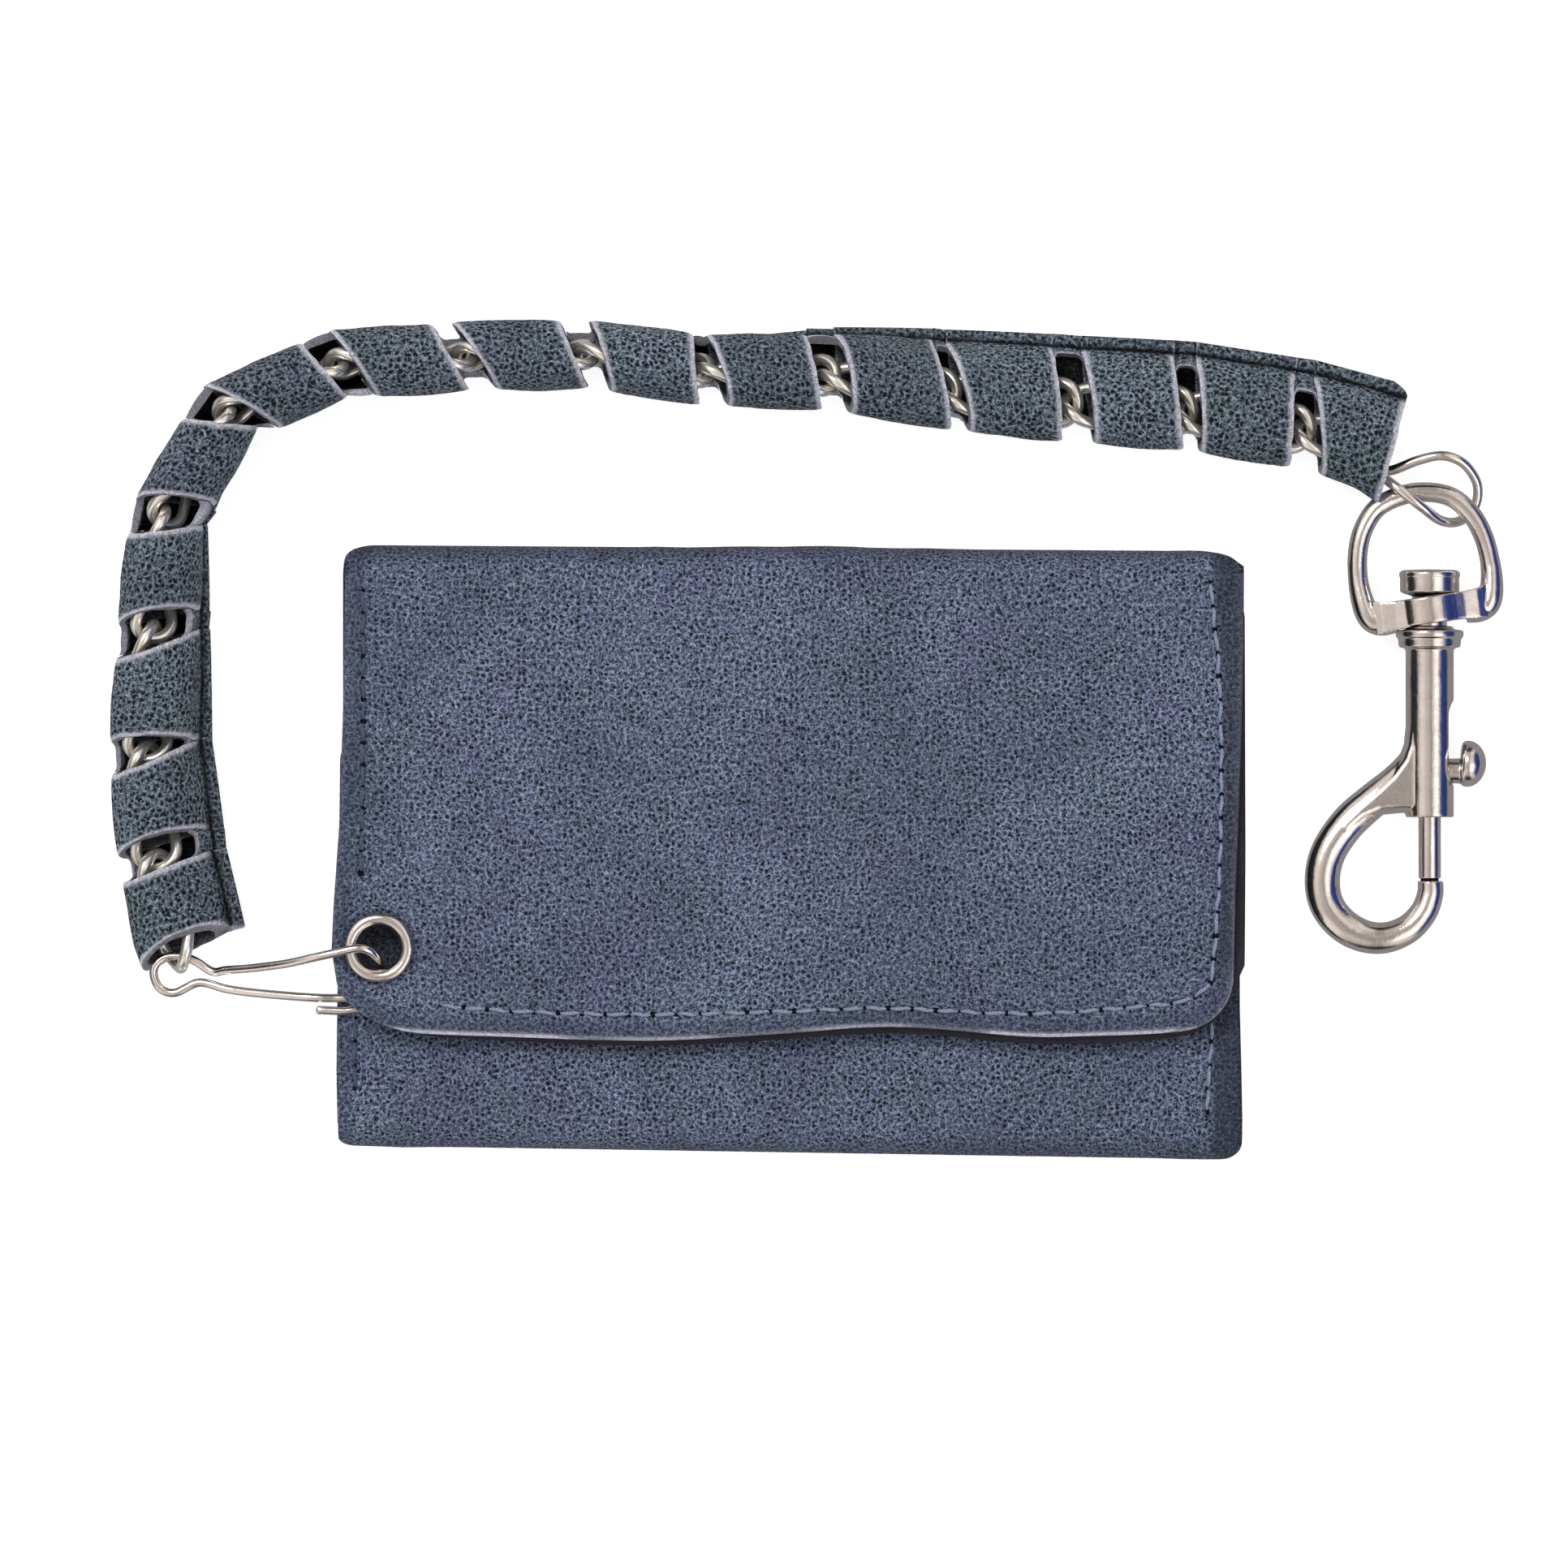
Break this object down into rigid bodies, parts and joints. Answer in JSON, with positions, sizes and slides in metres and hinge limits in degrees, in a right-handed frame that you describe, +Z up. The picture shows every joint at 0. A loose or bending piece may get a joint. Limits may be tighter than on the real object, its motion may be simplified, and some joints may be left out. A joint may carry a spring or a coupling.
{
  "type": "chain wallet",
  "caption": "Closed tri-fold leather wallet with an eyelet, joined by a wire ring to a leather-sleeved chain that ends in a swivel bolt snap.",
  "frame": {"origin": "centre of the back panel's flat underside, on the table", "axes": "+Z up out of the table, +X along the wallet's width towards the side of the snap, +Y towards the folded top edge"},
  "size_m": [0.176, 0.106, 0.0144],
  "materials": {
    "wallet_leather": "distressed, pebbled, matt with a slight sheen",
    "strap_leather": "distressed, pebbled, matt with a slight sheen",
    "lining_leather": "smooth dark lining",
    "nickel": "polished nickel plate",
    "spring_steel": "bright wire"
  },
  "bodies": {
    "wallet": {"back_panel": "wallet_leather", "back_lining": "lining_leather", "card_pocket": "lining_leather"},
    "flap": {"flap_panel": "wallet_leather", "flap_lining": "lining_leather", "eyelet": "nickel", "eyelet_washer": "nickel"},
    "front": {"front_panel": "wallet_leather", "front_lining": "lining_leather"},
    "ring": {"wallet_ring": "nickel"},
    "strap_15": {"sleeve_segment_15": "strap_leather", "chain_link_28": "nickel"},
    "strap_14": {"sleeve_segment_14": "strap_leather", "chain_link_26": "nickel", "chain_link_27": "nickel"},
    "strap_13": {"sleeve_segment_13": "strap_leather", "chain_link_24": "nickel", "chain_link_25": "nickel"},
    "strap_12": {"sleeve_segment_12": "strap_leather", "chain_link_22": "nickel", "chain_link_23": "nickel"},
    "strap_11": {"sleeve_segment_11": "strap_leather", "chain_link_20": "nickel", "chain_link_21": "nickel"},
    "strap_10": {"sleeve_segment_10": "strap_leather", "chain_link_18": "nickel", "chain_link_19": "nickel"},
    "strap_09": {"sleeve_segment_09": "strap_leather", "chain_link_16": "nickel", "chain_link_17": "nickel"},
    "strap_08": {"sleeve_segment_08": "strap_leather", "chain_link_14": "nickel", "chain_link_15": "nickel"},
    "strap_07": {"sleeve_segment_07": "strap_leather", "chain_link_12": "nickel", "chain_link_13": "nickel"},
    "strap_06": {"sleeve_segment_06": "strap_leather", "chain_link_10": "nickel", "chain_link_11": "nickel"},
    "strap_05": {"sleeve_segment_05": "strap_leather", "chain_link_08": "nickel", "chain_link_09": "nickel"},
    "strap_04": {"sleeve_segment_04": "strap_leather", "chain_link_06": "nickel", "chain_link_07": "nickel"},
    "strap_03": {"sleeve_segment_03": "strap_leather", "chain_link_04": "nickel", "chain_link_05": "nickel"},
    "strap_02": {"sleeve_segment_02": "strap_leather", "chain_link_02": "nickel", "chain_link_03": "nickel"},
    "strap_01": {"sleeve_segment_01": "strap_leather", "chain_link_01": "nickel"},
    "end_ring": {"end_ring": "nickel"},
    "eye": {"swivel_eye": "nickel"},
    "hook": {"hook_body": "nickel", "swivel_post": "nickel", "plunger_spring": "spring_steel"},
    "plunger": {"plunger": "nickel", "thumb_knob": "nickel"}
  },
  "joints": [
    {"name": "flap_fold", "type": "hinge", "parent": "wallet", "child": "flap", "pos_m": [0, 0.0349, 0.0123], "axis": [-1, 0, 0], "range_deg": [0, 120]},
    {"name": "front_fold", "type": "hinge", "parent": "wallet", "child": "front", "pos_m": [0, -0.0345, 0.0079], "axis": [1, 0, 0], "range_deg": [0, 48]},
    {"name": "ring_swing", "type": "hinge", "parent": "flap", "child": "ring", "pos_m": [-0.05156, -0.0123, 0.0123], "axis": [0, 0, 1], "range_deg": [-3, 14]},
    {"name": "strap_end_pivot", "type": "hinge", "parent": "ring", "child": "strap_15", "pos_m": [-0.07705, -0.0139, 0.0044], "axis": [0, 0, 1], "range_deg": [-5, 5]},
    {"name": "strap_hinge_14", "type": "hinge", "parent": "strap_15", "child": "strap_14", "pos_m": [-0.07985, -0.00143, 0.00465], "axis": [1, 0, 0], "range_deg": [0, 38.41]},
    {"name": "strap_hinge_13", "type": "hinge", "parent": "strap_14", "child": "strap_13", "pos_m": [-0.08107, 0.01235, 0.00599], "axis": [1, 0, 0], "range_deg": [0, 33.61]},
    {"name": "strap_hinge_12", "type": "hinge", "parent": "strap_13", "child": "strap_12", "pos_m": [-0.08024, 0.02759, 0.00756], "axis": [1, 0, 0], "range_deg": [0, 26.41]},
    {"name": "strap_hinge_11", "type": "hinge", "parent": "strap_12", "child": "strap_11", "pos_m": [-0.07875, 0.04198, 0.00861], "axis": [1, 0, 0], "range_deg": [0, 21.61]},
    {"name": "strap_hinge_10", "type": "hinge", "parent": "strap_11", "child": "strap_10", "pos_m": [-0.07101, 0.05501, 0.00908], "axis": [0, 0, 1], "range_deg": [-4, 35]},
    {"name": "strap_hinge_09", "type": "hinge", "parent": "strap_10", "child": "strap_09", "pos_m": [-0.05701, 0.06124, 0.00906], "axis": [0, 0, 1], "range_deg": [-4, 35]},
    {"name": "strap_hinge_08", "type": "hinge", "parent": "strap_09", "child": "strap_08", "pos_m": [-0.0409, 0.0622, 0.009], "axis": [-0.0408, 0.9992, 0], "range_deg": [-10, 10]},
    {"name": "strap_hinge_07", "type": "hinge", "parent": "strap_08", "child": "strap_07", "pos_m": [-0.0256, 0.06243, 0.00908], "axis": [0.0536, 0.9986, 0], "range_deg": [-10, 10]},
    {"name": "strap_hinge_06", "type": "hinge", "parent": "strap_07", "child": "strap_06", "pos_m": [-0.0107, 0.06035, 0.00896], "axis": [0.0729, 0.9973, 0], "range_deg": [-10, 10]},
    {"name": "strap_hinge_05", "type": "hinge", "parent": "strap_06", "child": "strap_05", "pos_m": [0.00502, 0.05983, 0.00804], "axis": [0.0711, 0.9975, 0], "range_deg": [-10, 10]},
    {"name": "strap_hinge_04", "type": "hinge", "parent": "strap_05", "child": "strap_04", "pos_m": [0.02027, 0.05774, 0.00611], "axis": [0.1037, 0.9946, 0], "range_deg": [-10, 10]},
    {"name": "strap_hinge_03", "type": "hinge", "parent": "strap_04", "child": "strap_03", "pos_m": [0.03566, 0.05635, 0.00467], "axis": [0.0728, 0.9973, 0], "range_deg": [-17, 17]},
    {"name": "strap_hinge_02", "type": "hinge", "parent": "strap_03", "child": "strap_02", "pos_m": [0.05022, 0.05543, 0.00459], "axis": [0.1099, 0.9939, 0], "range_deg": [-17, 17]},
    {"name": "strap_hinge_01", "type": "hinge", "parent": "strap_02", "child": "strap_01", "pos_m": [0.06513, 0.05303, 0.00455], "axis": [0.2095, 0.9778, 0], "range_deg": [-17, 17]},
    {"name": "end_ring_pivot", "type": "hinge", "parent": "strap_01", "child": "end_ring", "pos_m": [0.071, 0.0512, 0.0044], "axis": [0, 0, 1], "range_deg": [-3, 12]},
    {"name": "eye_swing", "type": "hinge", "parent": "end_ring", "child": "eye", "pos_m": [0.0816, 0.0446, 0.0045], "axis": [0, 0, 1], "range_deg": [-4, 20]},
    {"name": "hook_swivel", "type": "hinge", "parent": "eye", "child": "hook", "pos_m": [0.081, 0.0303, 0.0045], "axis": [0, 1, 0], "continuous": true},
    {"name": "plunger_slide", "type": "slide", "parent": "hook", "child": "plunger", "axis": [0, 1, 0], "range_m": [0, 0.007], "deforming": ["plunger_spring"]}
  ],
  "couplings": [
    {"joint": "front_fold", "follows": "flap_fold", "ratio": 0.4},
    {"joint": "strap_hinge_14", "follows": "flap_fold", "ratio": 0.32},
    {"joint": "strap_hinge_13", "follows": "flap_fold", "ratio": 0.28},
    {"joint": "strap_hinge_12", "follows": "flap_fold", "ratio": 0.22},
    {"joint": "strap_hinge_11", "follows": "flap_fold", "ratio": 0.18}
  ]
}
